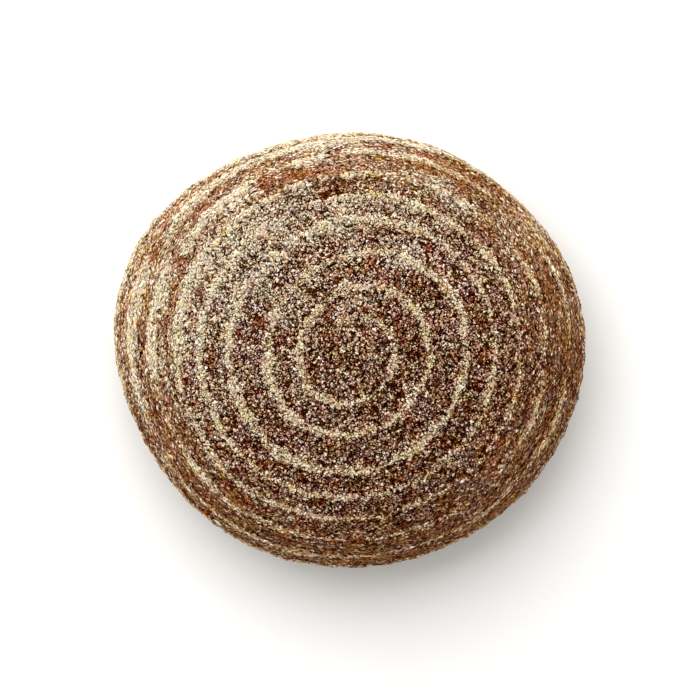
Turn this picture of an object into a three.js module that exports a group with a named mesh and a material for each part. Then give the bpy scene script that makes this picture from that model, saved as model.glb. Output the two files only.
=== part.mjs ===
// Round loaf of paleo bread, risen in a coiled cane basket and baked whole on a flat hearth.
// It is one solid: a low dome that carries the raised spiral left by the basket, a flank that
// tucks in below the widest level, and a flat foot.
// Millimetres, +Z up. The origin is at the middle of the foot, and +X runs along the longest way.

import * as THREE from 'three';
import { mergeVertices } from 'three/addons/utils/BufferGeometryUtils.js';

// Overall size
const LENGTH = 180;
const WIDTH = 166;
const HEIGHT = 76;

// Side profile: a quarter of an ellipse down to the widest level, then an under-curve to the foot
const MEAN_RADIUS = 86;
const WAIST_HEIGHT = 26;
const FOOT_INSET = 14;
const UNDER_SWEEP = THREE.MathUtils.degToRad(40);

// Outline from above: how far the dough swelled out of round, as lobes about the middle
const OUTLINE_LOBES = [
  { count: 1, size: 1.0, towards: 106 },
  { count: 2, size: 3.4, towards: -4 },
  { count: 3, size: 1.1, towards: 30 },
  { count: 4, size: 0.6, towards: -18 },
  { count: 5, size: 0.4, towards: 13 },
];
const OUTLINE_POWER = 4; // sections are round at the crown and take up the lobes towards the edge
const CROWN_OFFSET = new THREE.Vector2(-1.6, -0.9);

// Spiral of the basket, measured along the crust from the crown
const COIL_PITCH = 12;
const COIL_START = 4.2;
const COIL_LOBES = [
  { count: 1, size: 3.6, towards: -13 },
  { count: 2, size: 1.15, towards: 53 },
];
const STRETCH_SIZE = 3.4; // the rising dough pushed one turn outwards
const STRETCH_PLACE = 51;
const STRETCH_REACH = 12.3;

// Ridge between two coils, faded out at the crown and below the widest level
const RIDGE_HEIGHT = 1.1;
const RIDGE_SHARPNESS = 1.6;
const CROWN_FADE = 9;
const WAIST_FADE = 14;

// Gentle swells of the dome
const SWELLS = [
  { size: 0.6, length: 74, towards: 20 },
  { size: 0.5, length: 52, towards: 95 },
  { size: 0.4, length: 39, towards: 150 },
];

// Fineness of the surface
const DOME_ROWS = 60;
const UNDER_ROWS = 9;
const COLUMNS = 84;

const FULL_TURN = 2 * Math.PI;
const { degToRad, smoothstep } = THREE.MathUtils;

// Sum of lobes at an angle round the loaf, such as an outline's departure from a circle.
function lobeSum(lobes, angle) {
  let sum = 0;
  for (const { count, size, towards } of lobes) {
    sum += size * Math.cos(count * (angle - degToRad(towards)));
  }
  return sum;
}

// Evenly spaced stations down one curve of the profile, each with its outward normal.
function stationsAlong(curve, count, startAlong) {
  const length = curve.getLength();
  const stations = [];
  for (let i = 0; i <= count; i += 1) {
    const point = curve.getPointAt(i / count);
    const tangent = curve.getTangentAt(i / count);
    stations.push({
      radius: Math.max(point.x, 0),
      height: Math.max(point.y, 0),
      along: startAlong + (length * i) / count,
      normal: new THREE.Vector2(-tangent.y, tangent.x),
    });
  }
  return stations;
}

// The number of basket turns at a place on the crust: a whole number on a ridge.
function coilTurn(angle, along) {
  const stretch = STRETCH_SIZE * Math.exp(-(((along - STRETCH_PLACE) / STRETCH_REACH) ** 2));
  const drift = COIL_START + lobeSum(COIL_LOBES, angle) + stretch;
  return (along - drift) / COIL_PITCH + angle / FULL_TURN;
}

function ridgeLift(angle, along, waistAlong) {
  const wave = 0.5 + 0.5 * Math.cos(FULL_TURN * coilTurn(angle, along));
  const crown = smoothstep(along, 0, CROWN_FADE);
  const flank = 1 - smoothstep(along, waistAlong, waistAlong + WAIST_FADE);
  return RIDGE_HEIGHT * wave ** RIDGE_SHARPNESS * crown * flank;
}

function swellLift(x, y) {
  let sum = 0;
  for (const { size, length, towards } of SWELLS) {
    const across = x * Math.cos(degToRad(towards)) + y * Math.sin(degToRad(towards));
    sum += size * Math.sin((FULL_TURN * across) / length);
  }
  return sum;
}

// A point of the crust at an angle round the loaf, from its station on the mean profile.
function crustPoint(station, angle, waistAlong) {
  const bulge = lobeSum(OUTLINE_LOBES, angle);
  const spread = station.along < waistAlong ? station.radius / MEAN_RADIUS : 1;
  const lean = 1 - spread ** 2;
  const reach = station.radius + spread ** OUTLINE_POWER * bulge;
  const x = lean * CROWN_OFFSET.x + reach * Math.cos(angle);
  const y = lean * CROWN_OFFSET.y + reach * Math.sin(angle);
  const lift = ridgeLift(angle, station.along, waistAlong) + lean * swellLift(x, y);
  const outward = lift * station.normal.x;
  return new THREE.Vector3(
    x + outward * Math.cos(angle),
    y + outward * Math.sin(angle),
    station.height + lift * station.normal.y,
  );
}

// Stand the solid on its foot over the origin, at the loaf's overall size.
function fitToSize(geometry) {
  geometry.computeBoundingBox();
  const box = geometry.boundingBox;
  const size = box.getSize(new THREE.Vector3());
  const middle = box.getCenter(new THREE.Vector3());
  geometry.translate(-middle.x, -middle.y, -box.min.z);
  geometry.scale(LENGTH / size.x, WIDTH / size.y, HEIGHT / size.z);
}

function loafGeometry() {
  const domeHeight = HEIGHT - WAIST_HEIGHT;
  const underReach = FOOT_INSET / (1 - Math.cos(UNDER_SWEEP));
  const underDepth = WAIST_HEIGHT / Math.sin(UNDER_SWEEP);
  const dome = new THREE.EllipseCurve(
    0, WAIST_HEIGHT, MEAN_RADIUS, domeHeight, Math.PI / 2, 0, true,
  );
  const under = new THREE.EllipseCurve(
    MEAN_RADIUS - underReach, WAIST_HEIGHT, underReach, underDepth, 0, -UNDER_SWEEP, true,
  );
  const waistAlong = dome.getLength();
  const stations = [
    ...stationsAlong(dome, DOME_ROWS, 0),
    ...stationsAlong(under, UNDER_ROWS, waistAlong).slice(1),
  ];

  // The mean profile turned about Z, from the middle of the foot up to the crown.
  const profile = stations.map(({ radius, height }) => new THREE.Vector2(radius, height));
  profile.push(new THREE.Vector2(0, 0));
  profile.reverse();
  const turned = new THREE.LatheGeometry(profile, COLUMNS);
  turned.rotateX(Math.PI / 2);

  // Each point above the middle of the foot moves to its place on the uneven crust.
  const places = turned.getAttribute('position');
  for (let column = 0; column <= COLUMNS; column += 1) {
    const angle = (FULL_TURN * (column % COLUMNS)) / COLUMNS - Math.PI / 2;
    for (let row = 1; row < profile.length; row += 1) {
      const station = stations[stations.length - row];
      const place = crustPoint(station, angle, waistAlong);
      places.setXYZ(column * profile.length + row, place.x, place.y, place.z);
    }
  }

  turned.deleteAttribute('normal');
  turned.deleteAttribute('uv');
  const geometry = mergeVertices(turned);
  fitToSize(geometry);
  geometry.computeVertexNormals();
  return geometry;
}

const crust = new THREE.MeshStandardMaterial({ color: '#8d6a48', roughness: 0.9, metalness: 0 });

const loaf = new THREE.Mesh(loafGeometry(), crust);
loaf.name = 'loaf';

const bread = new THREE.Group();
bread.add(loaf);

export default bread;
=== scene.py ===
"""Looks of a whole round loaf of paleo bread, seen from straight above.

The crust is one mesh over the packed solid's form, with the spiral of ridges that a coiled proofing
basket leaves. Eight kinds of meal, from dark bran to white crumbs, lie on it as real grains. The pale
kinds lie mostly along the ridges and on the side that the baker dusted most. That side lies toward the
key light, so its paleness and the darkness of the side across from it are partly painted light and shade.
"""

import math
from typing import NamedTuple

import bmesh
import bpy
import numpy as np
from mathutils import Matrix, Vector, noise


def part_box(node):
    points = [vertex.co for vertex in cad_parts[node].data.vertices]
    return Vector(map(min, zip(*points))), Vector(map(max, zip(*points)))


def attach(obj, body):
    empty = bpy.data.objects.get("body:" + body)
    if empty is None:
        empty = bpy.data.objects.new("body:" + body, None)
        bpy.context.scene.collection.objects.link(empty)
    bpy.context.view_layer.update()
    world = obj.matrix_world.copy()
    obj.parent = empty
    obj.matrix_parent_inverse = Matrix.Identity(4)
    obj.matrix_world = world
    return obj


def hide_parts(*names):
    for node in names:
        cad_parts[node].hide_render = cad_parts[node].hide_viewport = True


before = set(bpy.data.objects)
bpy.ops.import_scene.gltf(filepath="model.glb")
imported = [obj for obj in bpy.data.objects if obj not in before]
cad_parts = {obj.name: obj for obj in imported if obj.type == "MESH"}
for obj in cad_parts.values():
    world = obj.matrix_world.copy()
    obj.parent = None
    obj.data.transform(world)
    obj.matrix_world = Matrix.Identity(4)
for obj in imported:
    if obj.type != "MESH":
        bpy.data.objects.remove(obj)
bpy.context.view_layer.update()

bl_info = {
    "name": "Paleo bread loaf",
    "version": (1, 0, 0),
    "blender": (4, 5, 0),
    "location": "3D View > Sidebar > Loaf",
    "description": "Makes the crust, the meal and the stage of a round basket-proofed loaf",
    "category": "Object",
}

MM = 0.001
FULL_TURN = 2 * math.pi
TINY = 1e-6  # far less than one step of the crust's mesh
LOAF_NODE = "loaf"
BODY = "root"
BAKE_MAP = "OFBake"


class Lobes(NamedTuple):
    """Equal lobes round the loaf, one of them at some degrees from +X towards +Y."""

    count: int
    size: float
    towards: float


class Swell(NamedTuple):
    """A gentle wave over the dome, which runs some degrees from +X towards +Y."""

    height: float
    length: float
    towards: float


class Spot(NamedTuple):
    """A soft round place on the crust, seen from above, with an amount in its middle."""

    x: float
    y: float
    reach: float
    amount: float


class Streak(NamedTuple):
    """A streak over the crust, its two ends given by distance from the crown and degrees round it."""

    from_along: float
    from_degrees: float
    to_along: float
    to_degrees: float
    half_width: float
    strength: float


# How the outline and the coil depart from a true round
OUTLINE_LOBES = (
    Lobes(1, 1.0 * MM, 106),
    Lobes(2, 3.4 * MM, -4),
    Lobes(3, 1.1 * MM, 30),
    Lobes(4, 0.6 * MM, -18),
    Lobes(5, 0.4 * MM, 13),
)
COIL_LOBES = (Lobes(1, 3.6 * MM, -13), Lobes(2, 1.15 * MM, 53))

SWELLS = (
    Swell(0.6 * MM, 74 * MM, 20),
    Swell(0.5 * MM, 52 * MM, 95),
    Swell(0.4 * MM, 39 * MM, 150),
)

# Where the meal came off with the basket
BARE_STREAKS = (
    Streak(79.0 * MM, 116, 74.5 * MM, 96, 3.8 * MM, 1.0),
    Streak(94.5 * MM, 140, 88.5 * MM, 154, 2.4 * MM, 0.9),
    Streak(81.0 * MM, 138, 78.0 * MM, 153, 1.6 * MM, 0.6),
    Streak(75.0 * MM, 152, 71.6 * MM, 164, 2.4 * MM, 0.7),
    Streak(94.0 * MM, 70, 95.0 * MM, 56, 3.0 * MM, 0.6),
    Streak(82.0 * MM, 96, 83.0 * MM, 62, 2.2 * MM, 0.5),
)

# Where the ridges were pressed flatter, or stand out if the amount is under 0
PRESSED = (
    Spot(-30 * MM, 30 * MM, 20 * MM, 0.6),
    Spot(13 * MM, -13 * MM, 10 * MM, 0.45),
    Spot(8 * MM, 14 * MM, 10 * MM, 0.5),
    Spot(-18 * MM, -4 * MM, 14 * MM, -0.5),
    Spot(66 * MM, 0 * MM, 16 * MM, 0.4),
    Spot(60 * MM, 54 * MM, 20 * MM, 0.6),
    Spot(-74 * MM, -34 * MM, 26 * MM, 0.3),
)

# Where more flour stuck, or less if the amount is under 0
DUSTED = (
    Spot(73 * MM, 56 * MM, 20 * MM, 0.75),
    Spot(4 * MM, -20 * MM, 17 * MM, 0.17),
    Spot(14 * MM, 16 * MM, 16 * MM, -0.22),
    Spot(-46 * MM, -46 * MM, 24 * MM, -0.18),
    Spot(-66 * MM, -54 * MM, 20 * MM, 0.14),
    Spot(49 * MM, -47 * MM, 24 * MM, -0.36),
    Spot(2 * MM, -66 * MM, 20 * MM, -0.18),
    Spot(48 * MM, 48 * MM, 18 * MM, -0.17),
    Spot(8 * MM, 44 * MM, 18 * MM, 0.08),
    Spot(34 * MM, 26 * MM, 14 * MM, 0.1),
    Spot(12 * MM, -12 * MM, 10 * MM, 0.12),
    Spot(-57 * MM, 60 * MM, 18 * MM, 0.35),
    Spot(-62 * MM, 0 * MM, 14 * MM, -0.08),
    Spot(-84 * MM, 4 * MM, 18 * MM, 0.32),
)


def linear(hex_colour):
    """An sRGB hex colour as linear RGBA."""
    channels = [int(hex_colour[i:i + 2], 16) / 255 for i in (1, 3, 5)]
    return [c / 12.92 if c <= 0.04045 else ((c + 0.055) / 1.055) ** 2.4 for c in channels] + [1.0]


def length_setting(name, default, description):
    """A length that a user may change."""
    return bpy.props.FloatProperty(
        name=name, description=description, default=default, unit="LENGTH", precision=5
    )


def colour_setting(name, default, description):
    """A colour that a user may change, from its sRGB hex value."""
    return bpy.props.FloatVectorProperty(
        name=name, description=description, default=linear(default), subtype="COLOR", size=4
    )


class LoafShape(bpy.types.PropertyGroup):
    """Sizes of the crust, the larger ones those of the packed solid."""

    mean_radius: length_setting("Mean radius", 86 * MM, "Mean radius at the widest level")
    waist_height: length_setting("Waist height", 26 * MM, "Height of the widest level")
    foot_inset: length_setting("Foot inset", 14 * MM, "How far the foot lies inside the outline")
    under_sweep: bpy.props.FloatProperty(
        name="Under sweep", description="Sweep of the under-curve's ellipse",
        default=math.radians(40), subtype="ANGLE",
    )
    outline_power: bpy.props.FloatProperty(
        name="Outline power", description="How late the round sections take up the outline", default=4
    )
    crown_offset: bpy.props.FloatVectorProperty(
        name="Crown offset", description="Place of the crown from the middle of the outline",
        default=(-1.6 * MM, -0.9 * MM), size=2, subtype="XYZ", unit="LENGTH",
    )
    coil_pitch: length_setting("Coil pitch", 12 * MM, "Spacing of the basket's coils on the crust")
    coil_start: length_setting("Coil start", 4.2 * MM, "Distance from the crown to the first ridge")
    stretch_size: length_setting("Stretch", 3.4 * MM, "How far the rise pushed one turn outwards")
    stretch_place: length_setting("Stretch place", 51 * MM, "Where the crust stretched most")
    stretch_reach: length_setting("Stretch reach", 12.3 * MM, "How far the stretch spreads")
    ridge_height: length_setting("Ridge height", 1.1 * MM, "Height of the ridges between coils")
    ridge_sharpness: bpy.props.FloatProperty(
        name="Ridge sharpness", description="Narrowness of the ridges", default=1.6
    )
    crown_fade: length_setting("Crown fade", 9 * MM, "Reach of the smooth spot at the crown")
    waist_fade: length_setting("Waist fade", 14 * MM, "How far the ridges run below the waist")
    lump_height: length_setting("Lump height", 0.35 * MM, "Height of the crust's small lumps")
    crumb_size: length_setting("Crumb size", 1.8 * MM, "Width of the crumbs between dark gaps")
    crumb_height: length_setting("Crumb height", 0.32 * MM, "Height of the crumbs over the gaps")
    paste_height: length_setting("Paste height", 0.25 * MM, "Thickness of the flour baked on the ridges")
    flake_size: length_setting("Flake size", 7 * MM, "Width of the crust between two cracks")
    crown_reach: length_setting("Crown reach", 60 * MM, "Reach of the crown's patch of faces")
    cuts: bpy.props.IntProperty(name="Cuts", description="Cuts along each side patch", default=127)


class LoafColours(bpy.types.PropertyGroup):
    """Colours of the crust and of the meal on it."""

    # The scorched brown and the dusted gaps' brown also paint the shade in gaps, pores and pits
    scorched_and_shade: colour_setting("Scorched crust", "#100300", "Deepest brown, in grooves and gaps")
    gap: colour_setting("Dusted gaps", "#2a0f04", "Brown of the gaps between pale grains")
    baked: colour_setting("Baked crust", "#724529", "Lightest brown of the baked crown")
    rim_low: colour_setting("Rim crust, darker", "#3a170a", "Darker streaks of the rim")
    rim_high: colour_setting("Rim crust, lighter", "#b27c4a", "Lighter streaks of the rim")
    bare: colour_setting("Bare crust", "#b2683c", "Orange-brown where no meal stuck")
    film: colour_setting("Flour film", "#c6a67e", "Straw-coloured flour baked onto the ridges")
    paste: colour_setting("Flour paste", "#dacdb6", "Pale flour baked onto the dusted side")
    foot: colour_setting("Foot", "#8c5f38", "Hearth-baked underside")
    bran_low: colour_setting("Bran, darker", "#100000", "Darkest of the bran flakes")
    bran_high: colour_setting("Bran, lighter", "#2f0c04", "Lightest of the bran flakes")
    roasted_low: colour_setting("Roasted meal, darker", "#371107", "Darkest of the roasted grains")
    roasted_high: colour_setting("Roasted meal, lighter", "#6d3a24", "Lightest of the roasted grains")
    toasted_low: colour_setting("Toasted meal, darker", "#693f2a", "Darkest of the toasted grains")
    toasted_high: colour_setting("Toasted meal, lighter", "#a7795d", "Lightest of the toasted grains")
    tan_low: colour_setting("Tan meal, darker", "#946e53", "Darkest of the tan grains")
    tan_high: colour_setting("Tan meal, lighter", "#cfab8b", "Lightest of the tan grains")
    golden_low: colour_setting("Golden meal, darker", "#8c603a", "Darkest of the golden grains")
    golden_high: colour_setting("Golden meal, lighter", "#d8ae82", "Lightest of the golden grains")
    straw_low: colour_setting("Straw meal, darker", "#c7aa80", "Darkest of the straw grains")
    straw_high: colour_setting("Straw meal, lighter", "#eedcb8", "Lightest of the straw grains")
    cream_low: colour_setting("Cream meal, darker", "#d6c09f", "Darkest of the cream grains")
    cream_high: colour_setting("Cream meal, lighter", "#f8edd6", "Lightest of the cream grains")
    white_low: colour_setting("White meal, darker", "#ddceb8", "Darkest of the white crumbs")
    white_high: colour_setting("White meal, lighter", "#fbf3e3", "Lightest of the white crumbs")


class LoafMeal(bpy.types.PropertyGroup):
    """How much meal lies on the crust, and how coarse it is."""

    grains_per_face: bpy.props.FloatProperty(
        name="Grains per face", description="Mean number of grains on a face of the crust", default=3.2
    )
    most_grains: bpy.props.IntProperty(
        name="Most grains", description="Most grains in one kind of meal", default=33000
    )
    grain_size: length_setting("Grain size", 0.58 * MM, "Mean width of a grain of meal")
    size_spread: bpy.props.FloatProperty(
        name="Size spread", description="Spread of the sizes of the grains", default=0.36
    )
    patch_size: length_setting("Patch size", 5.5 * MM, "Width of a patch of redder or yellower grains")
    hue_spread: bpy.props.FloatProperty(
        name="Hue spread", description="How far the hue of the grains wanders", default=0.03
    )
    richness_spread: bpy.props.FloatProperty(
        name="Richness spread", description="How far the richness of their colour wanders", default=0.32
    )
    clumping: bpy.props.FloatProperty(
        name="Clumping", description="How far like grains lie together", default=0.5, subtype="FACTOR"
    )
    seed: bpy.props.IntProperty(name="Seed", description="Seed of the random draws", default=11)


class LoafStage(bpy.types.PropertyGroup):
    """Camera, lights and floor."""

    picture_side: bpy.props.IntProperty(
        name="Picture side", description="Width of the picture in pixels", default=700, subtype="PIXEL"
    )
    loaf_side: bpy.props.IntProperty(
        name="Loaf side", description="Width of the loaf in the picture, in pixels", default=470,
        subtype="PIXEL",
    )
    sensor_width: bpy.props.FloatProperty(
        name="Sensor width", description="Width of the camera's sensor in millimetres", default=36
    )
    camera_height: length_setting("Camera height", 3.0, "Height of the camera over the floor")
    floor_side: length_setting("Floor side", 12.0, "Side of the pale floor")
    floor_colour: colour_setting("Floor", "#f4f3f0", "Pale matte floor")
    sky_colour: colour_setting("Sky colour", "#ffffff", "Colour of the soft light all round")
    sky_strength: bpy.props.FloatProperty(name="Sky", description="Soft light all round", default=0.68)
    key_power: bpy.props.FloatProperty(
        name="Key power", description="Power of the soft key light", default=40.5, unit="POWER"
    )
    key_side: length_setting("Key side", 2.2, "Side of the key light")
    key_distance: length_setting("Key distance", 1.5, "Distance of the key light")
    key_azimuth: bpy.props.FloatProperty(
        name="Key azimuth", description="Way to the key light, from +X towards +Y",
        default=math.radians(114), subtype="ANGLE",
    )
    key_elevation: bpy.props.FloatProperty(
        name="Key elevation", description="Angle of the key light over the floor",
        default=math.radians(45), subtype="ANGLE",
    )


def lobe_sum(lobes, angle):
    """Sum of lobes at an angle round the loaf."""
    return sum(lobe.size * np.cos(lobe.count * (angle - math.radians(lobe.towards))) for lobe in lobes)


def smoothstep(values, low, high):
    """Smooth rise from 0 at low to 1 at high."""
    share = np.clip((values - low) / (high - low), 0, 1)
    return share * share * (3 - 2 * share)


def bell(values):
    """Smooth fall from 1 at zero, to about a third at one and to nothing at three."""
    return np.exp(-(values ** 2))


# Each random field has a seed of its own, which shifts it by these steps
SEED_STEPS = (3.7, 1.3, 2.9)
WANDER_SEED, CLUMP_SEED, LUMP_SEED, PATCH_SEED = 1, 4, 5, 361
BREAK_SEED, DRIFT_SEED, THIN_SEED = 111, 77, 135
CRUMB_SEEDS, FLAKE_SEEDS, SHUT_SEED = (21, 22, 23), (24, 25, 26), 27
LINE_SEED, TOAST_SEED, RICH_SEED = 10, 12, 13


def field(places, size, seed):
    """Smooth random values, mostly -0.7 to 0.7, in lumps of about the given size."""
    shift = Vector([seed * step for step in SEED_STEPS])
    return np.array([noise.noise(Vector(p) / size + shift) for p in places])


def gap_field(places, size):
    """Distance to the nearest gap between crumbs of about the given size, as a share of that size."""
    found = [noise.voronoi(Vector(p) / size)[0] for p in places]
    return np.array([near[1] - near[0] for near in found])


# Crumbs and cracks: how ragged they are and how far a gap slopes up, in shares of a crumb or a flake
RAGGEDNESS = 0.35
CRUMB_SLOPE, CRACK_SLOPE = 0.55, 0.16
RAG_SIZE, CRACKED_SIZE = 0.4, 2  # in flakes
CRACKED_DUST = (0.2, 0.5)
SHUT_CRACK = 3


def crumb_field(places, shape, dust_and_shade):
    """How far inside a crumb each place lies: 0 in the gaps and 1 on top. Cracks open where dusted."""
    crumb, flake = shape.crumb_size, shape.flake_size
    wobble = np.stack([field(places, crumb, seed) for seed in CRUMB_SEEDS], axis=1)
    drift = np.stack([field(places, RAG_SIZE * flake, seed) for seed in FLAKE_SEEDS], axis=1)
    crumbs = gap_field(places + RAGGEDNESS * crumb * wobble, crumb) / CRUMB_SLOPE
    cracks = gap_field(places + RAGGEDNESS * flake * drift, flake) / CRACK_SLOPE
    shut = np.maximum(field(places, CRACKED_SIZE * flake, SHUT_SEED), 0)
    shut = shut + 1 - smoothstep(dust_and_shade, *CRACKED_DUST)
    return np.minimum(crumbs, cracks + SHUT_CRACK * shut)


PROFILE_STEPS = 400


def mean_profile(shape, height):
    """The loaf's mean side profile from crown to foot: along, radius, level, outward normal and waist."""
    dome = np.linspace(0, math.pi / 2, PROFILE_STEPS)
    under = np.linspace(0, shape.under_sweep, PROFILE_STEPS)[1:]
    reach = shape.foot_inset / (1 - math.cos(shape.under_sweep))
    depth = shape.waist_height / math.sin(shape.under_sweep)
    rise = height - shape.waist_height
    radius = np.concatenate((
        shape.mean_radius * np.sin(dome), shape.mean_radius - reach * (1 - np.cos(under))
    ))
    level = np.concatenate((
        shape.waist_height + rise * np.cos(dome), shape.waist_height - depth * np.sin(under)
    ))
    along = np.concatenate(([0], np.cumsum(np.hypot(np.diff(radius), np.diff(level)))))
    normal = -np.gradient(level, along), np.gradient(radius, along)
    return along, radius, level, normal, along[PROFILE_STEPS - 1]


def coil_turn(shape, angle, along):
    """The number of basket turns at a place on the crust: a whole number on a ridge."""
    push = shape.stretch_size * bell((along - shape.stretch_place) / shape.stretch_reach)
    drift = shape.coil_start + lobe_sum(COIL_LOBES, angle) + push
    return (along - drift) / shape.coil_pitch + angle / FULL_TURN


def round_angle(x, y):
    """Angle of a point of a square patch when its square rings become circles."""
    quarter = math.pi / 4
    flat = np.abs(x) >= np.abs(y)
    with np.errstate(divide="ignore", invalid="ignore"):
        sideways = quarter * y / x + np.where(x < 0, math.pi, 0)
        upright = 2 * quarter - quarter * x / y + np.where(y < 0, math.pi, 0)
    return np.nan_to_num(np.where(flat, sideways, upright))


class CrustForm:
    """The crust's form, worked out for the corners of a finely cut cube.

    The cube's top becomes a round patch at the crown, its sides the flank, and its bottom the foot.
    """

    def __init__(self, shape, cube, box):
        low, high = np.array(box[0]), np.array(box[1])
        profile = mean_profile(shape, high[2] - low[2])
        self.shape, self.profile, self.waist_along = shape, profile[:4], profile[4]
        self.foot_along = profile[0][-1]
        x, y, z = cube.T
        ring = np.maximum(np.abs(x), np.abs(y))
        self.angle = round_angle(x, y)
        side = shape.crown_reach + (self.foot_along - shape.crown_reach) * (1 - z) / 2
        self.along = np.where(z > 1 - TINY, shape.crown_reach * ring, side)
        self.inside_foot = np.where(z < -1 + TINY, ring, 1.0)
        self.turn = coil_turn(shape, self.angle, self.along)
        smooth = self.places(self.ridge(self.turn))
        self.scale = (high - low) / np.ptp(smooth, axis=0)
        self.shift = low - smooth.min(axis=0) * self.scale

    def ridge(self, turn):
        """Height of the ridges that the basket left."""
        wave = (0.5 + 0.5 * np.cos(FULL_TURN * turn)) ** self.shape.ridge_sharpness
        crown = smoothstep(self.along, 0, self.shape.crown_fade)
        flank = 1 - smoothstep(self.along, self.waist_along, self.waist_along + self.shape.waist_fade)
        return self.shape.ridge_height * wave * crown * flank

    def places(self, lift):
        """Points of the crust, raised along the mean profile's normal."""
        shape, (along, radii, levels, normals) = self.shape, self.profile
        radius = np.interp(self.along, along, radii)
        level = np.interp(self.along, along, levels)
        out = np.interp(self.along, along, normals[0])
        up = np.interp(self.along, along, normals[1])
        spread = np.where(self.along < self.waist_along, radius / shape.mean_radius, 1)
        lean = 1 - spread ** 2
        reach = radius + spread ** shape.outline_power * lobe_sum(OUTLINE_LOBES, self.angle)
        across, ahead = np.cos(self.angle), np.sin(self.angle)
        x = lean * shape.crown_offset[0] + reach * across
        y = lean * shape.crown_offset[1] + reach * ahead
        for swell in SWELLS:
            way = math.radians(swell.towards)
            place = x * math.cos(way) + y * math.sin(way)
            lift = lift + lean * swell.height * np.sin(FULL_TURN * place / swell.length)
        on_foot = self.along > self.foot_along - TINY
        lift = np.where(on_foot, 0, lift)
        x = (x + lift * out * across) * self.inside_foot
        y = (y + lift * out * ahead) * self.inside_foot
        return np.stack((x, y, np.where(on_foot, 0, np.maximum(level + lift * up, 0))), axis=1)

    def fitted(self, places):
        """Points fitted to the packed solid's box."""
        return places * self.scale + self.shift


# Sizes of the random patches that make the crust uneven, the last two of patches along the coil
WANDER_SIZE = 13 * MM
CLUMP_SIZE = 6 * MM
LUMP_SIZE = 3.4 * MM
PATCH_SIZE = 17 * MM
COIL_PATCH_LENGTH = 26 * MM
COIL_PATCHES_PER_TURN = 2.2

# Regions of the crust, each from where it starts to where it is full. The shares are of the mean
# radius: out to the dusted side, out to the dim side across from it, or out all round. The dusted side lies
# toward the key light: its paler meal is partly painted light, and the dim side's darker meal partly
# painted shade
DUSTED_AND_LIT_WAY = (-0.67, 0.74)
DUSTED_SIDE, PALE_FLANK, THIN_SIDE = (0, 0.8), (0.2, 0.8), (-0.3, 0.4)
DIM_SIDE, PAINTED_SHADE_SIDE = (0, 0.5), (0.2, 0.9)
DRAWN_OUT, THIN_RIM, EDGE = (0.6, 0.98), (0.6, 0.95), (0.95, 1)
BELOW_WAIST, ABOVE_FOOT = 4 * MM, 5 * MM

# Height of the ridges, as a share of the full height
RIDGE_MEAN, RIDGE_BREAKS, RIDGE_CLUMPS = 0.98, 0.35, 0.2
RIDGE_LIMITS = (0.4, 1.25)

# The coil and the pale bands along its ridges, in turns of the coil
WANDER, CLUMP_WANDER = 0.1, 0.03
BAND_WIDTH, PATCH_WIDTH, DIM_WIDTH, FLANK_WIDTH = 0.15, 0.03, 0.06, 0.04
# On the dim side the bands move toward a ridge's crown-side slope, which faces the key light: painted light
BAND_SHIFT, DIM_SHIFT = 0.03, 0.06
SHOULDER_SHIFT = 0.1
# The slopes toward the crown and toward the rim, which the dim side paints as lit and shaded
CROWN_SLOPE, RIM_SLOPE, SLOPE_WIDTH = -0.24, 0.2, 0.12

# The bands fade in near the crown, and their edges are ragged, less so on the dim side and at the rim
BAND_START = (3 * MM, 16 * MM)
BAND_RAGS, DIM_RAGS, RIM_NEATNESS, BAND_CLUMPS = 0.18, 0.08, 0.6, 0.06
BAND_EDGE = (0.25, 0.85)

# Dust from above, as shares of a full cover, and the painted shade taken off it away from the key light
DUST_PATCHES, DUST_CLUMPS, DUST_DRIFTS, DUST_OUTWARDS = 0.3, 0.15, 0.55, 0.1
DUST_COVER = (0.02, 0.88)
GROOVE_LOSS, RIM_GROOVE_LOSS = 0.45, 0.05
PAINTED_SHADE, BAND_SHELTER = 0.22, 0.6
DUST_COOLING = 0.6

# Flour baked onto the ridges, as shares of a full cover. Side flour also paints light toward the key light
# and shade away from it, and slope flour paints the dim side's ridge slopes lit and shaded
FLOUR_LEAST, FLOUR_BANDS, DUSTED_BANDS, FLOUR_PATCHES = 0.085, 0.96, 0.16, 0.2
FLOUR_CLUMPS, DIM_CLUMPS, SIDE_FLOUR_AND_LIGHT, DIM_FLOUR, PAINTED_SLOPE_LIGHT = 0.16, 0.04, 0.2, 0.02, 0.14
BELOW_LOSS, EDGE_FLOUR_LOSS, EDGE_DUST_LOSS = 0.6, 0.15, 0.25

# Bare streaks and thin places
STREAK_RAGS, STREAK_EDGE = 1.2, (0.3, 1.5)
THIN_COVER, THIN_BANDS, THIN_STRENGTH = (0, 0.35), 1.6, 0.5
BARE_FLOUR_LOSS, BARE_DUST_LOSS = 0.85, 0.9

# Height of a clump in lumps, and how far the basket rubbed down the crumbs at the rim
CLUMP_HEIGHT, RUBBED_CRUMBS = 0.8, 0.6


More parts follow.
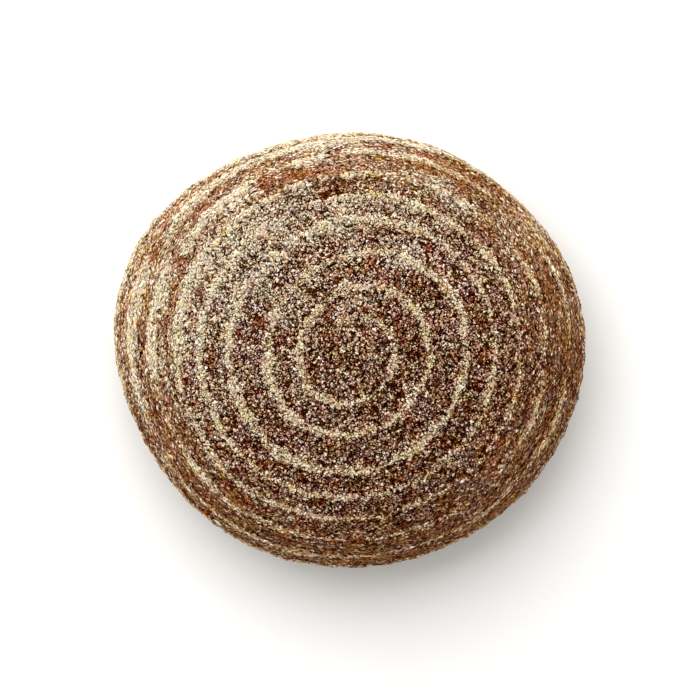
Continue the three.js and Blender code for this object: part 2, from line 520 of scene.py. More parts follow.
class CrustFields:
    """What the basket, the dusting and the oven left at each corner of the crust.

    Places are kept at rest, before lumps and crumbs raise them. Side runs from -1 on the dim side, away
    from the key light, to 1 on the dusted side toward it, crumb from -1 in a gap to 1, and most of the
    others from 0 to 1.
    The paler dusted side and the darker dim side are partly real flour and partly painted light and shade.
    """

    def __init__(self, form):
        self.form, self.shape, self.along = form, form.shape, form.along
        self.rest = form.fitted(form.places(form.ridge(form.turn)))
        x, y = self.rest[:, 0], self.rest[:, 1]
        self.clump = field(self.rest, CLUMP_SIZE, CLUMP_SEED)
        self.lump = field(self.rest, LUMP_SIZE, LUMP_SEED)
        self.patch = field(self.rest, PATCH_SIZE, PATCH_SEED)
        wander = WANDER * field(self.rest, WANDER_SIZE, WANDER_SEED)
        self.turn = form.turn + wander + CLUMP_WANDER * self.clump
        self.phase = self.turn - np.round(self.turn)
        self.coil_places = np.stack((
            x / COIL_PATCH_LENGTH, y / COIL_PATCH_LENGTH, COIL_PATCHES_PER_TURN * form.turn
        ), axis=1)

        # Side follows the way to the key light, so the flour and dust that follow it carry painted light
        # and shade too
        self.side = self.rest[:, :2] @ np.array(DUSTED_AND_LIT_WAY) / self.shape.mean_radius
        self.dim = smoothstep(-self.side, *DIM_SIDE)
        self.spread = np.hypot(x, y) / self.shape.mean_radius
        self.drawn = smoothstep(self.spread, *DRAWN_OUT)
        self.below = smoothstep(self.along, form.waist_along + BELOW_WAIST, form.foot_along)
        self.foot = smoothstep(self.along, form.foot_along - ABOVE_FOOT, form.foot_along)

        self.standing = self.ridge_shares()
        self.band = self.pale_bands()
        dust_and_shade = self.dusting()
        self.warm = self.drawn * (1 - DUST_COOLING * np.maximum(dust_and_shade, 0))
        self.bare = self.bare_streaks()
        edge = smoothstep(self.spread, *EDGE)
        self.flour = self.flouring() * (1 - EDGE_FLOUR_LOSS * edge) * (1 - BARE_FLOUR_LOSS * self.bare)
        self.dust_and_shade = dust_and_shade * (1 - EDGE_DUST_LOSS * edge) * (1 - BARE_DUST_LOSS * self.bare)
        crumb = 2 * smoothstep(crumb_field(self.rest, self.shape, self.dust_and_shade), 0, 1) - 1
        self.crumb = crumb * (1 - RUBBED_CRUMBS * self.drawn)

    def near(self, spot):
        """How near each corner is to a spot: 1 in its middle, and less over its reach."""
        return bell(np.hypot(self.rest[:, 0] - spot.x, self.rest[:, 1] - spot.y) / spot.reach)

    def ridge_shares(self):
        """Height of the ridges, broken along their length and pressed flatter in places."""
        breaks = field(self.coil_places, 1, BREAK_SEED)
        shares = np.clip(RIDGE_MEAN + RIDGE_BREAKS * breaks + RIDGE_CLUMPS * self.clump, *RIDGE_LIMITS)
        for spot in PRESSED:
            shares = shares * (1 - spot.amount * self.near(spot))
        return shares

    def pale_bands(self):
        """Pale bands along the ridges, narrower on the dim side and wider on the flank across from it."""
        width = BAND_WIDTH + PATCH_WIDTH * self.patch - DIM_WIDTH * self.dim
        width = width + FLANK_WIDTH * self.drawn * smoothstep(self.side, *PALE_FLANK)
        # On the dim side the band moves toward the slope facing the key light: painted light
        band = bell((self.phase + BAND_SHIFT + DIM_SHIFT * self.dim) / width)
        band = band * smoothstep(self.along, *BAND_START) * self.standing
        rags = (BAND_RAGS - DIM_RAGS * self.dim) * (1 - RIM_NEATNESS * self.drawn)
        return smoothstep(band + rags * self.lump + BAND_CLUMPS * self.clump, *BAND_EDGE)

    def dusting(self):
        """Dust from the key light's side, in drifts along the coil and thinner in its grooves: flour, and
        partly painted light. Below 0 is painted shade on the side away from the key light.
        """
        drift = field(self.coil_places, 1, DRIFT_SEED)
        dust_and_shade = self.side + DUST_PATCHES * self.patch + DUST_CLUMPS * self.clump
        dust_and_shade = dust_and_shade + DUST_DRIFTS * drift + DUST_OUTWARDS * self.spread
        dust_and_shade = smoothstep(dust_and_shade, *DUST_COVER) * (1 - self.below)
        shoulder = 0.5 + 0.5 * np.cos(FULL_TURN * (self.phase + SHOULDER_SHIFT))
        groove = (GROOVE_LOSS + RIM_GROOVE_LOSS * self.drawn) * (1 - shoulder)
        # Painted shade: darker on the side away from the key light, less so on the pale bands
        painted_shade = PAINTED_SHADE * smoothstep(-self.side, *PAINTED_SHADE_SIDE) * (1 - BAND_SHELTER * self.band)
        return dust_and_shade * (1 - groove) - painted_shade

    def flouring(self):
        """Flour along the bands, in clumps, and more toward the key light, partly as painted light. On the
        dim side more of it lies on a ridge's crown side, which faces the key light: painted light and shade
        on its slopes.
        """
        bands = (FLOUR_BANDS - DUSTED_BANDS * smoothstep(self.side, *DUSTED_SIDE)) * self.band
        flour = FLOUR_LEAST + bands + FLOUR_PATCHES * self.patch
        flour = flour + (FLOUR_CLUMPS + DIM_CLUMPS * self.dim) * self.clump
        # More flour toward the key light and less away from it: partly painted light and shade
        flour = flour + SIDE_FLOUR_AND_LIGHT * self.side + DIM_FLOUR * self.dim
        # Painted light and shade: on the dim side the slope toward the crown, facing the key light, gets
        # more flour and the slope toward the rim less
        crown_slope = bell((self.phase - CROWN_SLOPE) / SLOPE_WIDTH)
        rim_slope = bell((self.phase - RIM_SLOPE) / SLOPE_WIDTH)
        flour = flour + PAINTED_SLOPE_LIGHT * self.dim * (crown_slope - rim_slope)
        for spot in DUSTED:
            flour = flour + spot.amount * self.near(spot)
        return np.clip(flour, 0, 1) * (1 - BELOW_LOSS * self.below)

    def bare_streaks(self):
        """Streaks where the meal came off, and grooves near the dusted rim where it is thin."""
        bare = np.zeros(len(self.rest))
        degrees = np.degrees(self.form.angle) % 360
        for streak in BARE_STREAKS:
            sweep = streak.to_degrees - streak.from_degrees
            share = np.clip((degrees - streak.from_degrees) / sweep, 0, 1)
            past = np.radians(degrees - (streak.from_degrees + share * sweep)) * self.shape.mean_radius
            down = self.along - streak.from_along - share * (streak.to_along - streak.from_along)
            off = np.hypot(down, past) / streak.half_width + STREAK_RAGS * self.lump
            bare = np.maximum(bare, streak.strength * (1 - smoothstep(off, *STREAK_EDGE)))
        thin = smoothstep(field(self.coil_places, 1, THIN_SEED), *THIN_COVER)
        thin = thin * (1 - np.clip(THIN_BANDS * self.band, 0, 1))
        thin = thin * smoothstep(self.spread, *THIN_RIM) * smoothstep(self.side, *THIN_SIDE)
        return np.maximum(bare, THIN_STRENGTH * thin)

    def lift(self):
        """Height of the ridges, the lumps, the crumbs and the flour baked on as a paste."""
        lift = self.form.ridge(self.turn) * self.standing
        lift = lift + self.shape.lump_height * (self.lump + CLUMP_HEIGHT * self.clump)
        lift = lift + self.shape.crumb_height * self.crumb
        return lift + self.shape.paste_height * self.band * (1 - self.warm)


def link_piece(mesh, material):
    """A mesh as an object of the loaf, riding on its one body."""
    piece = bpy.data.objects.new(mesh.name, mesh)
    bpy.context.scene.collection.objects.link(piece)
    mesh.materials.append(material)
    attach(piece, BODY)
    return piece


def add_node(tree, kind, inputs=None, **settings):
    """Add one shader node with its settings, and set or link its inputs."""
    node = tree.nodes.new(kind)
    for name, value in settings.items():
        setattr(node, name, value)
    for socket, value in (inputs or {}).items():
        if isinstance(value, bpy.types.NodeSocket):
            tree.links.new(value, node.inputs[socket])
        else:
            node.inputs[socket].default_value = value
    return node


def new_material(name):
    """A material with an empty node tree."""
    material = bpy.data.materials.new(name)
    material.use_nodes = True
    material.node_tree.nodes.clear()
    return material, material.node_tree


# Sockets of the Mix node in its colour mode
MIX_A, MIX_B, MIX_RESULT = 6, 7, 2

# Dry crust and meal scatter light so finely that they show no sheen
DRY_IOR, DRY_SHEEN = 1.45, 0.0
MEAL_ROUGHNESS, BARE_ROUGHNESS, GRAIN_ROUGHNESS, BOARD_ROUGHNESS = 0.92, 0.68, 0.9, 0.95


def crust_material(colours):
    """Baked nut-and-seed crust, dusted in the basket and baked dark on a hearth.

    The eye sees a matte mottled brown: scorched crust darkened with painted shade in the gaps between
    grains, warmer towards the rim, orange-brown where no meal stuck, and a thin film of flour along the
    ridges.
    """
    material, tree = new_material("hearth_baked_crust")
    place = add_node(tree, "ShaderNodeTexCoord").outputs["Object"]
    flour, dust_and_shade, warm, bare, foot, along, crumb = (
        add_node(tree, "ShaderNodeAttribute", attribute_name=name).outputs["Fac"]
        for name in ("flour", "dust_and_shade", "warm", "bare", "foot", "along", "crumb")
    )

    # Patterns: ground meal in the crust, pores, fibres along the coil, and blotches and specks of the foot
    meal_size, pore_size, mottle_size, speck_size = 0.5 * MM, 0.65 * MM, 7 * MM, 1.6 * MM
    fibre_length, fibre_width = 22 * MM, 1.5 * MM
    meal = add_node(tree, "ShaderNodeTexVoronoi", {"Vector": place, "Scale": 1 / meal_size}).outputs
    speckle = add_node(tree, "ShaderNodeSeparateColor", {0: meal["Color"]}).outputs[0]
    pores = add_node(tree, "ShaderNodeTexNoise", {
        "Vector": place, "Scale": 1 / pore_size, "Detail": 2.0}).outputs["Fac"]
    mottle = add_node(tree, "ShaderNodeTexNoise", {
        "Vector": place, "Scale": 1 / mottle_size, "Detail": 3.0}).outputs["Fac"]
    specks = add_node(tree, "ShaderNodeTexNoise", {
        "Vector": place, "Scale": 1 / speck_size, "Detail": 4.0}).outputs["Fac"]
    apart = add_node(tree, "ShaderNodeSeparateXYZ", {0: place}).outputs
    down = add_node(tree, "ShaderNodeMath", {
        0: along, 1: fibre_length / fibre_width}, operation="MULTIPLY").outputs[0]
    coil = add_node(tree, "ShaderNodeCombineXYZ", {0: apart[0], 1: apart[1], 2: down}).outputs[0]
    fibres = add_node(tree, "ShaderNodeTexNoise", {
        "Vector": coil, "Scale": 1 / fibre_length, "Detail": 3.0}).outputs["Fac"]

    # Brown crust: scorched and baked meal at the crown, lighter fibres at the rim, orange where bare
    rim_speckle, toast_power = 0.3, 2.0
    flaked = add_node(tree, "ShaderNodeMath", {
        0: speckle, 1: rim_speckle, 2: fibres}, operation="MULTIPLY_ADD").outputs[0]
    fibre = add_node(tree, "ShaderNodeMapRange", {
        "Value": flaked, "From Min": 0.48, "From Max": 0.86}).outputs[0]
    rim = add_node(tree, "ShaderNodeMix", {
        0: fibre, MIX_A: colours.rim_low, MIX_B: colours.rim_high}, data_type="RGBA").outputs[MIX_RESULT]
    toasting = add_node(tree, "ShaderNodeMath", {
        0: speckle, 1: toast_power}, operation="POWER").outputs[0]
    crown = add_node(tree, "ShaderNodeMix", {
        0: toasting, MIX_A: colours.scorched_and_shade, MIX_B: colours.baked}, data_type="RGBA").outputs[MIX_RESULT]
    brown = add_node(tree, "ShaderNodeMix", {
        0: warm, MIX_A: crown, MIX_B: rim}, data_type="RGBA").outputs[MIX_RESULT]
    stripped = add_node(tree, "ShaderNodeMath", {0: bare, 1: speckle}, operation="MULTIPLY").outputs[0]
    open_crust = add_node(tree, "ShaderNodeMix", {
        0: stripped, MIX_A: brown, MIX_B: colours.bare}, data_type="RGBA").outputs[MIX_RESULT]

    # Film of flour over the brown, caught by the meal, and dark gaps and pores through both. The gaps and
    # pores are scorched crust, darkened further as painted shade in these recesses
    film_speckle, crumb_pores = 0.6, 0.12
    cover = add_node(tree, "ShaderNodeMath", {0: flour, 1: dust_and_shade}, operation="MAXIMUM").outputs[0]
    caught = add_node(tree, "ShaderNodeMath", {
        0: speckle, 1: film_speckle, 2: cover}, operation="MULTIPLY_ADD").outputs[0]
    film = add_node(tree, "ShaderNodeMapRange", {
        "Value": caught, "From Min": 0.45, "From Max": 1.3, "To Max": 0.6},
        interpolation_type="SMOOTHSTEP").outputs[0]
    pale = add_node(tree, "ShaderNodeMix", {
        0: dust_and_shade, MIX_A: colours.film, MIX_B: colours.paste}, data_type="RGBA").outputs[MIX_RESULT]
    floured = add_node(tree, "ShaderNodeMix", {
        0: film, MIX_A: open_crust, MIX_B: pale}, data_type="RGBA").outputs[MIX_RESULT]
    relief = add_node(tree, "ShaderNodeMath", {
        0: crumb, 1: crumb_pores, 2: pores}, operation="MULTIPLY_ADD").outputs[0]
    gaps = add_node(tree, "ShaderNodeMapRange", {
        "Value": relief, "From Min": 0.38, "From Max": 0.5}, interpolation_type="SMOOTHSTEP").outputs[0]
    # Colour of the gaps and pores: dark crust with painted shade
    depth = add_node(tree, "ShaderNodeMix", {
        0: dust_and_shade, MIX_A: colours.scorched_and_shade, MIX_B: colours.gap}, data_type="RGBA").outputs[MIX_RESULT]
    pitted = add_node(tree, "ShaderNodeMix", {
        0: gaps, MIX_A: depth, MIX_B: floured}, data_type="RGBA").outputs[MIX_RESULT]

    # Foot: mottled hearth brown with pale specks and dark pits, with painted shade in the pits
    blotch = add_node(tree, "ShaderNodeMapRange", {
        "Value": mottle, "From Min": 0.36, "From Max": 0.62}).outputs[0]
    hearth = add_node(tree, "ShaderNodeMix", {
        0: blotch, MIX_A: colours.rim_low, MIX_B: colours.foot}, data_type="RGBA").outputs[MIX_RESULT]
    speck = add_node(tree, "ShaderNodeMapRange", {
        "Value": specks, "From Min": 0.55, "From Max": 0.7, "To Max": 0.55}).outputs[0]
    sole = add_node(tree, "ShaderNodeMix", {
        0: speck, MIX_A: hearth, MIX_B: colours.paste}, data_type="RGBA").outputs[MIX_RESULT]
    pocked = add_node(tree, "ShaderNodeMix", {
        0: gaps, MIX_A: colours.scorched_and_shade, MIX_B: sole}, data_type="RGBA").outputs[MIX_RESULT]
    colour = add_node(tree, "ShaderNodeMix", {
        0: foot, MIX_A: pitted, MIX_B: pocked}, data_type="RGBA").outputs[MIX_RESULT]

    # Matte, a little smoother where bare, with fine grit all over
    grit_strength, grit_height = 0.6, 0.4 * MM
    rough = add_node(tree, "ShaderNodeMapRange", {
        "Value": bare, "To Min": MEAL_ROUGHNESS, "To Max": BARE_ROUGHNESS}).outputs[0]
    grit = add_node(tree, "ShaderNodeMath", {
        0: pores, 1: meal["Distance"]}, operation="SUBTRACT").outputs[0]
    bump = add_node(tree, "ShaderNodeBump", {
        "Height": grit, "Strength": grit_strength, "Distance": grit_height}).outputs["Normal"]
    surface = add_node(tree, "ShaderNodeBsdfPrincipled", {
        "Base Color": colour, "Roughness": rough, "Normal": bump,
        "IOR": DRY_IOR, "Specular IOR Level": DRY_SHEEN})
    add_node(tree, "ShaderNodeOutputMaterial", {"Surface": surface.outputs[0]})
    return material


def meal_material(name, low, high):
    """Stone-ground meal: dry matte grains, each of its own tone between two colours.

    The eye sees patches of redder and of yellower grains, because the oven toasted them unevenly.
    """
    material, tree = new_material(name)
    tone, hue, richness = (
        add_node(tree, "ShaderNodeAttribute", attribute_name=attribute).outputs["Fac"]
        for attribute in ("tone", "hue", "richness")
    )
    grain = add_node(tree, "ShaderNodeMix", {
        0: tone, MIX_A: low, MIX_B: high}, data_type="RGBA").outputs[MIX_RESULT]
    colour = add_node(tree, "ShaderNodeHueSaturation", {
        "Hue": hue, "Saturation": richness, "Color": grain}).outputs[0]
    surface = add_node(tree, "ShaderNodeBsdfPrincipled", {
        "Base Color": colour, "Roughness": GRAIN_ROUGHNESS,
        "IOR": DRY_IOR, "Specular IOR Level": DRY_SHEEN})
    add_node(tree, "ShaderNodeOutputMaterial", {"Surface": surface.outputs[0]})
    return material


def board_material(colour):
    """Pale matte board. The eye sees an even off-white that takes a soft shadow."""
    material, tree = new_material("pale_matte_board")
    surface = add_node(tree, "ShaderNodeBsdfPrincipled", {
        "Base Color": colour, "Roughness": BOARD_ROUGHNESS})
    add_node(tree, "ShaderNodeOutputMaterial", {"Surface": surface.outputs[0]})
    return material


def write_attribute(mesh, name, values):
    """One number, or one place, for each corner point of a mesh."""
    kind, key = ("FLOAT", "value") if values.ndim == 1 else ("FLOAT_VECTOR", "vector")
    mesh.attributes.new(name, kind, "POINT").data.foreach_set(key, values.astype(np.float32).ravel())


def read_rows(items, key, width, kind=np.float32):
    """What each item of a mesh holds under a key, as one row for each item."""
    values = np.empty(len(items) * width, kind)
    items.foreach_get(key, values)
    return values.reshape(-1, width)


# Fields that the crust's mesh keeps, for its material and for the meal
KEPT_FIELDS = ("flour", "dust_and_shade", "warm", "bare", "foot", "below", "along", "drawn", "crumb", "rest")


class LOAF_OT_crust(bpy.types.Operator):
    """Make the crust over the packed solid's form"""

    bl_idname = "loaf.crust"
    bl_label = "Make crust"

    def cube_mesh(self, cuts):
        """A finely cut cube, with each of its six sides in its own square of the map."""
        bm = bmesh.new()
        bmesh.ops.create_cube(bm, size=2)
        bmesh.ops.subdivide_edges(bm, edges=bm.edges, cuts=cuts, use_grid_fill=True)
        layer = bm.loops.layers.uv.new(BAKE_MAP)
        margin, columns, rows = 0.01, 3, 2
        for face in bm.faces:
            normal = face.normal
            axis = max(range(3), key=lambda i: abs(normal[i]))
            u_axis, v_axis = [i for i in range(3) if i != axis]
            column, row = axis, int(normal[axis] > 0)
            for loop in face.loops:
                u, v = (loop.vert.co[u_axis] + 1) / 2, (loop.vert.co[v_axis] + 1) / 2
                loop[layer].uv = (
                    (column + margin + u * (1 - 2 * margin)) / columns,
                    (row + margin + v * (1 - 2 * margin)) / rows,
                )
        mesh = bpy.data.meshes.new("crust")
        bm.to_mesh(mesh)
        bm.free()
        return mesh

    def execute(self, context):
        shape = context.scene.loaf_shape
        mesh = self.cube_mesh(shape.cuts)
        form = CrustForm(shape, read_rows(mesh.vertices, "co", 3).astype(float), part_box(LOAF_NODE))
        fields = CrustFields(form)
        places = form.fitted(form.places(fields.lift()))
        mesh.vertices.foreach_set("co", places.astype(np.float32).ravel())
        mesh.shade_smooth()
        mesh.update()
        for name in KEPT_FIELDS:
            write_attribute(mesh, name, getattr(fields, name))
        crust = link_piece(mesh, crust_material(context.scene.loaf_colours))
        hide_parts(LOAF_NODE)
        return {"FINISHED"}


# Where grains are fewer or more, as shares of the mean number
BARE_FEWER, BELOW_FEWER, WARM_FEWER, FLOURED_MORE = 0.35, 0.5, 0.5, 0.3
GAP_SETTLED, GAP_WIDTH = 0.45, (0.04, 0.36)
LEAST_DUSTED = 0.1

# Lines of like grains along the coil at the rim
LINE_LENGTH, LINE_WIDTH, LINE_SHARE = 22 * MM, 1.3 * MM, 0.3

# One grain: how it tilts, how the basket combed and drew it out at the rim, and how lumpy it is
TILT, DRAWN_TILT, COMBING = 0.35, 0.25, 6
DRAWN_FORM = (0.9, -0.35, -0.45)
GRAIN_RADIUS, GRAIN_RISE = 0.55, 0.2
LUMPS_FROM, LUMPS_TO = 0.75, 1.3
MAP_FILL = 0.7

# Toasting of the grains: yellower in pale places, redder for pale kinds in the crown's grooves
SAME_HUE, MEAN_RICHNESS = 0.5, 1.1
TOAST_SCATTER, PALE_TOAST, PALE_MEAN = 0.08, 0.4, 0.45
GROOVE_TOAST, GROOVE_RICHNESS = 0.6, 0.12


class Kind(NamedTuple):
    """One kind of meal: the form of its grains, and its share of the meal in each sort of place."""

    form: tuple  # length, width and height of a grain, in grain sizes
    groove: tuple  # in the grooves, at the crown and at the rim
    ridge: tuple  # on the ridges, at the crown and at the rim
    streak: float  # in the bare streaks
    # Where the painted shade takes the dust below 0, this works the other way round
    dusted: float  # how many times its share it has on the dusted side

    def share(self, flour, dust_and_shade, warm, bare):
        """Share of this kind in the meal, for the flour and so on round each grain."""
        groove = (1 - flour) * np.interp(warm, (0, 1), self.groove)
        ridge = flour * np.interp(warm, (0, 1), self.ridge)
        dusted = np.maximum(1 + dust_and_shade * (self.dusted - 1), LEAST_DUSTED)
        return (1 - bare) * (groove + ridge) * dusted + bare * self.streak


# From dark to light
KINDS = {
    "bran": Kind((1.45, 1.0, 0.35), (0.31, 0.18), (0.045, 0.04), 0.07, 1.3),
    "roasted": Kind((1.2, 0.9, 0.6), (0.18, 0.28), (0.04, 0.06), 0.16, 0.5),
    "toasted": Kind((1.2, 0.9, 0.65), (0.15, 0.22), (0.04, 0.06), 0.28, 0.4),
    "tan": Kind((1.15, 0.9, 0.7), (0.13, 0.11), (0.05, 0.08), 0.18, 0.5),
    "golden": Kind((1.1, 0.85, 0.7), (0.02, 0.12), (0.02, 0.18), 0.20, 0.5),
    "straw": Kind((1.0, 0.85, 0.7), (0.03, 0.04), (0.29, 0.27), 0.04, 1.2),
    "cream": Kind((1.0, 0.85, 0.7), (0.11, 0.04), (0.35, 0.23), 0.06, 1.8),
    "white": Kind((0.9, 0.8, 0.6), (0.08, 0.02), (0.14, 0.08), 0.01, 4.8),
}


class Grains(NamedTuple):
    """Grains of meal, one row for each: its place and what the crust is like there."""

    place: np.ndarray
    normal: np.ndarray
    drawn: np.ndarray  # how far the basket drew the meal out
    pale: np.ndarray  # cover of flour or dust
    kind: np.ndarray  # number of its kind

    def some(self, rows):
        """Some of the grains."""
        return Grains(*(values[rows] for values in self))


def ranks(values):
    """Even numbers from 0 to 1 in the order of the values."""
    return np.argsort(np.argsort(values)) / len(values)


def unit(vectors):
    """Vectors of length 1."""
    return vectors / np.linalg.norm(vectors, axis=1, keepdims=True)


def grain_form():
    """Corners and triangles of one grain: a six-sided crumb, three corners round and one at each end."""
    bm = bmesh.new()
    bmesh.ops.create_uvsphere(bm, u_segments=3, v_segments=2, radius=GRAIN_RADIUS)
    corners = np.array([v.co[:] for v in bm.verts])
    triangles = np.array([[v.index for v in f.verts] for f in bm.faces])
    bm.free()
    return corners, triangles


class LOAF_OT_meal(bpy.types.Operator):
    """Scatter the meal over the crust, each kind as one mesh of grains"""

    bl_idname = "loaf.meal"
    bl_label = "Scatter meal"

    def scatter(self, meal, shape):
        """All grains on the crust, with the kind of each."""
        crust = bpy.data.meshes["crust"]
        rng = np.random.default_rng(meal.seed)
        corners = read_rows(crust.polygons, "vertices", 4, np.int32)
        normals = read_rows(crust.polygons, "normal", 3)
        area = read_rows(crust.polygons, "area", 1)[:, 0]
        points = read_rows(crust.vertices, "co", 3)
        rest = read_rows(crust.attributes["rest"].data, "vector", 3)
        fields = {
            name: read_rows(crust.attributes[name].data, "value", 1)[:, 0][corners]
            for name in ("flour", "dust_and_shade", "warm", "bare", "foot", "below", "along", "drawn")
        }
        mean = {name: values.mean(axis=1) for name, values in fields.items()}
        wanted = area / area[mean["foot"] < 0.5].mean() * meal.grains_per_face
        wanted = wanted * (1 - mean["foot"]) * (1 - BARE_FEWER * mean["bare"])
        wanted = wanted * (1 - BELOW_FEWER * mean["below"]) * (1 - WARM_FEWER * mean["warm"])
        wanted = wanted * (1 + FLOURED_MORE * np.maximum(mean["flour"], mean["dust_and_shade"]))
        number = np.floor(wanted + rng.random(len(wanted))).astype(int)
        face = rng.permutation(np.repeat(np.arange(len(corners)), number))
        u, v = rng.random((2, len(face)))
        weights = np.stack(((1 - u) * (1 - v), u * (1 - v), u * v, (1 - u) * v), axis=1)

        flour, dust_and_shade, warm, bare, along, drawn = (
            (weights * fields[name][face]).sum(axis=1)
            for name in ("flour", "dust_and_shade", "warm", "bare", "along", "drawn")
        )
        place = np.einsum("gc,gcx->gx", weights, points[corners[face]])
        inside = crumb_field(np.einsum("gc,gcx->gx", weights, rest[corners[face]]), shape, dust_and_shade)
        shares = np.stack([kind.share(flour, dust_and_shade, warm, bare) for kind in KINDS.values()], axis=1)
        limits = np.cumsum(shares / shares.sum(axis=1, keepdims=True), axis=1)

        # Pale grains stand on the crumbs of the crown and darker ones in the gaps between, as painted shade
        # in these recesses, and like grains in lines along the coil at the rim
        lines = np.stack((place[:, 0] / LINE_LENGTH, place[:, 1] / LINE_LENGTH, along / LINE_WIDTH), axis=1)
        lined = LINE_SHARE * drawn
        clumps = (1 - lined) * ranks(inside) + lined * ranks(field(lines, 1, LINE_SEED))
        draw = ranks(meal.clumping * ranks(clumps) + (1 - meal.clumping) * rng.random(len(face)))
        kind = (draw[:, None] > limits[:, :-1]).sum(axis=1)

        # Fewer grains lie in the gaps between the crumbs
        chance = GAP_SETTLED + (1 - GAP_SETTLED) * smoothstep(inside, *GAP_WIDTH)
        settled = rng.random(len(face)) < chance
        return Grains(place, normals[face], drawn, np.maximum(flour, dust_and_shade), kind).some(settled)

    def grain_corners(self, grain, form, meal, grains, rng):
        """Corners of grains that are turned, tilted and lumpy, and drawn out along the coil at the rim."""
        number = len(grains.place)
        drawn = grains.drawn[:, None]
        up = unit(grains.normal + (TILT - DRAWN_TILT * drawn) * rng.normal(size=(number, 3)))
        flat = grains.place * (1, 1, 0)
        outward = flat / np.linalg.norm(grains.place[:, :2], axis=1, keepdims=True)
        aside = COMBING * drawn * outward + rng.normal(size=(number, 3))
        ahead = unit(np.cross(up, aside))
        aside = np.cross(up, ahead)
        size = meal.grain_size * np.exp(meal.size_spread * rng.normal(size=number))
        lumps = rng.uniform(LUMPS_FROM, LUMPS_TO, size=(number, len(grain), 1))
        form = np.array(form) * (1 + drawn * DRAWN_FORM)
        shaped = grain[None] * lumps * form[:, None] * size[:, None, None]
        turned = (
            shaped[:, :, :1] * ahead[:, None] + shaped[:, :, 1:2] * aside[:, None]
            + shaped[:, :, 2:] * up[:, None]
        )
        rise = grains.normal * (GRAIN_RISE * form[:, 2] * size)[:, None]
        return (grains.place + rise)[:, None] + turned

    def grain_mesh(self, name, corners, grain, triangles):
        """Grains as one mesh. On the map each has a small square of its own, its ends in the middle."""
        number = len(corners)
        faces = triangles[None] + (np.arange(number) * len(grain))[:, None, None]
        mesh = bpy.data.meshes.new(name)
        mesh.vertices.add(number * len(grain))
        mesh.vertices.foreach_set("co", corners.astype(np.float32).ravel())
        mesh.loops.add(faces.size)
        mesh.loops.foreach_set("vertex_index", faces.astype(np.int32).ravel())
        mesh.polygons.add(faces.size // 3)
        mesh.polygons.foreach_set("loop_start", np.arange(0, faces.size, 3, dtype=np.int32))
        mesh.update(calc_edges=True)
        mesh.shade_flat()
        columns = math.ceil(math.sqrt(number))
        cell = np.stack(np.divmod(np.arange(number), columns), axis=1)
        spread = (cell[:, None] + 0.5 + MAP_FILL * grain[None, :, :2]) / columns
        spread = spread.reshape(-1, 2)[faces.ravel()]
        layer = mesh.uv_layers.new(name=BAKE_MAP)
        layer.data.foreach_set("uv", spread.astype(np.float32).ravel())
        if mesh.validate():
            raise RuntimeError(f"{name} has a bad face")
        return mesh

    def execute(self, context):
        scene = context.scene
        meal, colours = scene.loaf_meal, scene.loaf_colours
        scattered = self.scatter(meal, scene.loaf_shape)
        grain, triangles = grain_form()
        for index, (name, kind) in enumerate(KINDS.items()):
            rng = np.random.default_rng(meal.seed + 1 + index)
            grains = scattered.some(np.flatnonzero(scattered.kind == index)[:meal.most_grains])
            corners = self.grain_corners(grain, kind.form, meal, grains, rng)

            # A grain that would reach through the floor is left out
            kept = corners[:, :, 2].min(axis=1) > 0
            corners, grains = corners[kept], grains.some(kept)
            mesh = self.grain_mesh(f"{name}_meal", corners, grain, triangles)

            groove = index / len(KINDS) * ((1 - grains.drawn) * (1 - grains.pale))
            toast = field(corners[:, 0], meal.patch_size, TOAST_SEED)
            toast = toast + TOAST_SCATTER * rng.normal(size=len(corners))
            toast = toast + PALE_TOAST * (grains.pale - PALE_MEAN) - GROOVE_TOAST * groove
            patches = meal.richness_spread * field(corners[:, 0], meal.patch_size, RICH_SEED)
            looks = {
                "hue": SAME_HUE + meal.hue_spread * toast,
                "richness": MEAN_RICHNESS + GROOVE_RICHNESS * groove + patches,
                "tone": rng.random(len(corners)),
            }
            for look, values in looks.items():
                write_attribute(mesh, look, np.repeat(values, len(grain)))
            low, high = getattr(colours, f"{name}_low"), getattr(colours, f"{name}_high")
            link_piece(mesh, meal_material(f"stone_ground_{name}_meal", low, high))
        return {"FINISHED"}


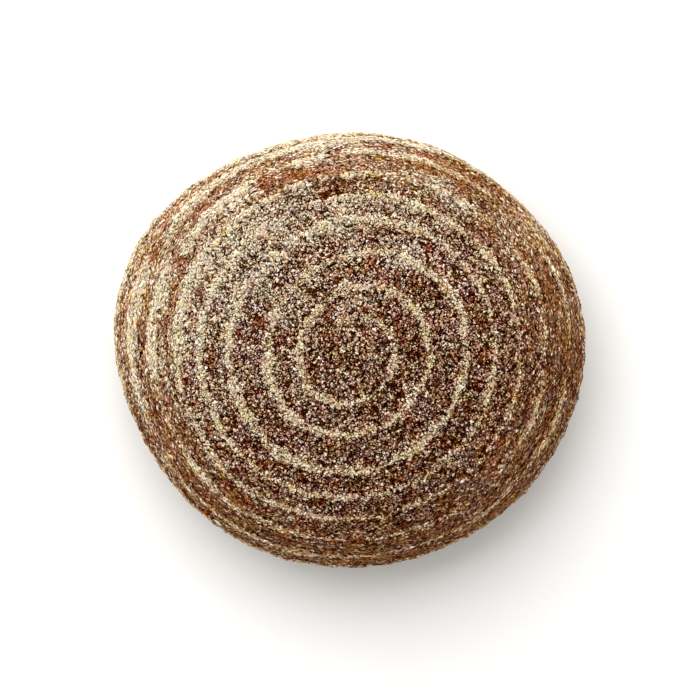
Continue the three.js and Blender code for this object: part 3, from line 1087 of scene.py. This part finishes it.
class LOAF_OT_stage(bpy.types.Operator):
    """Set the camera straight above the loaf, a pale floor and soft studio light"""

    bl_idname = "loaf.stage"
    bl_label = "Set stage"

    def execute(self, context):
        scene, stage = context.scene, context.scene.loaf_stage
        low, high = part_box(LOAF_NODE)
        waist = scene.loaf_shape.waist_height
        wide = (high.x - low.x) * stage.picture_side / stage.loaf_side

        camera = bpy.data.cameras.new("overhead")
        camera.sensor_width = stage.sensor_width
        camera.lens = camera.sensor_width * (stage.camera_height - waist) / wide
        holder = bpy.data.objects.new("overhead", camera)
        holder.location = (0, 0, stage.camera_height)
        scene.collection.objects.link(holder)
        scene.camera = holder

        bm = bmesh.new()
        bmesh.ops.create_grid(bm, x_segments=1, y_segments=1, size=stage.floor_side / 2)
        mesh = bpy.data.meshes.new("floor")
        bm.to_mesh(mesh)
        bm.free()
        mesh.materials.append(board_material(stage.floor_colour))
        floor = bpy.data.objects.new("floor", mesh)
        scene.collection.objects.link(floor)

        world = bpy.data.worlds.new("soft_sky")
        world.use_nodes = True
        world.node_tree.nodes["Background"].inputs["Color"].default_value = stage.sky_colour
        world.node_tree.nodes["Background"].inputs["Strength"].default_value = stage.sky_strength
        scene.world = world

        key = bpy.data.lights.new("key", "AREA")
        key.size = stage.key_side
        key.energy = stage.key_power
        lamp = bpy.data.objects.new("key", key)
        way = Vector((
            math.cos(stage.key_elevation) * math.cos(stage.key_azimuth),
            math.cos(stage.key_elevation) * math.sin(stage.key_azimuth),
            math.sin(stage.key_elevation),
        ))
        lamp.location = way * stage.key_distance
        lamp.rotation_euler = way.to_track_quat("Z", "Y").to_euler()
        scene.collection.objects.link(lamp)
        scene.view_settings.view_transform = "Standard"
        return {"FINISHED"}


class LOAF_PT_panel(bpy.types.Panel):
    """Settings and steps of the loaf"""

    bl_label = "Paleo bread loaf"
    bl_idname = "LOAF_PT_panel"
    bl_space_type = "VIEW_3D"
    bl_region_type = "UI"
    bl_category = "Loaf"

    def draw(self, context):
        column = self.layout.column()
        column.operator(LOAF_OT_crust.bl_idname)
        column.operator(LOAF_OT_meal.bl_idname)
        column.operator(LOAF_OT_stage.bl_idname)
        for group in SETTINGS:
            settings = getattr(context.scene, group)
            column.label(text=settings.__doc__)
            for name in settings.bl_rna.properties.keys():
                if name not in ("rna_type", "name"):
                    column.prop(settings, name)


SETTINGS = {
    "loaf_shape": LoafShape,
    "loaf_colours": LoafColours,
    "loaf_meal": LoafMeal,
    "loaf_stage": LoafStage,
}
CLASSES = (*SETTINGS.values(), LOAF_OT_crust, LOAF_OT_meal, LOAF_OT_stage, LOAF_PT_panel)


def register():
    for cls in CLASSES:
        bpy.utils.register_class(cls)
    for name, group in SETTINGS.items():
        setattr(bpy.types.Scene, name, bpy.props.PointerProperty(type=group))


def unregister():
    for name in SETTINGS:
        delattr(bpy.types.Scene, name)
    for cls in reversed(CLASSES):
        bpy.utils.unregister_class(cls)


def main():
    register()
    bpy.ops.loaf.crust()
    bpy.ops.loaf.meal()
    bpy.ops.loaf.stage()


if __name__ == "__main__":
    main()
